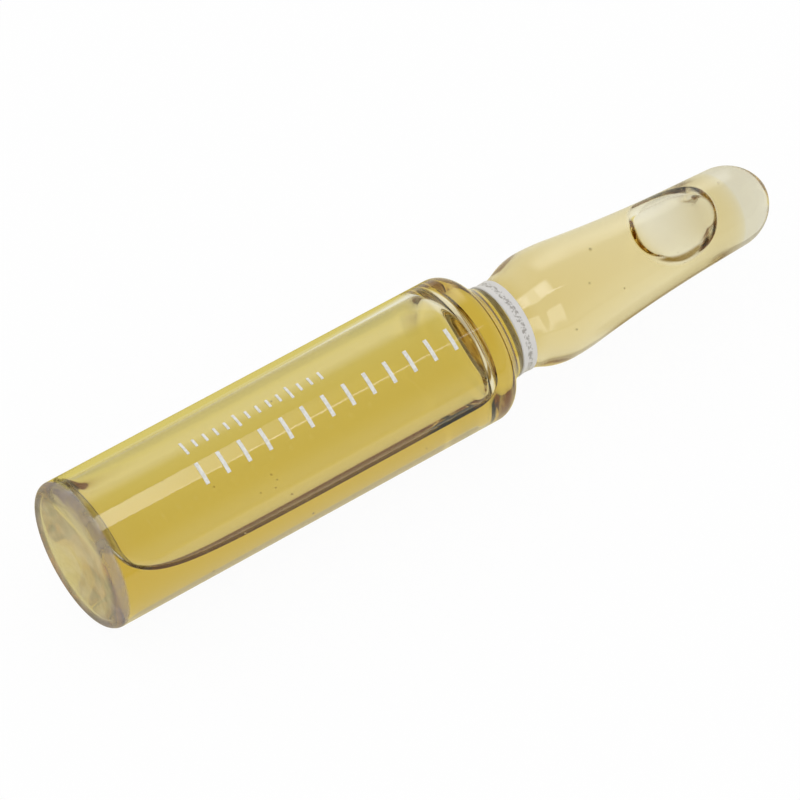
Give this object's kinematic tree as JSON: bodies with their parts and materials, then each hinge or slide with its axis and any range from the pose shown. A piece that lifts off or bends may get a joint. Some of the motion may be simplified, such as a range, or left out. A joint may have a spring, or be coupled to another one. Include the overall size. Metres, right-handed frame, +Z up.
{
  "type": "glass ampoule",
  "caption": "Sealed clear glass ampoule half full of yellow serum, with a break ring round its neck and a fused tip; shown lying on its side.",
  "frame": {"origin": "on the surface that the ampoule lies on, under the middle of its length", "axes": "+X along the ampoule's axis from its base to its fused tip; +Z up, square to the surface it lies on and to the level liquid inside; +Y away from the side that the picture was taken from"},
  "size_m": [0.0616, 0.0114, 0.0115],
  "materials": {
    "glass": "clear, fire polished",
    "serum": "clear yellow liquid",
    "ring_enamel": "fired white enamel, slightly rough",
    "print_enamel": "fired white enamel"
  },
  "bodies": {
    "root": {"glass_ampoule": "glass", "serum": "serum", "break_ring": "ring_enamel", "print_marks": "print_enamel"}
  },
  "joints": []
}
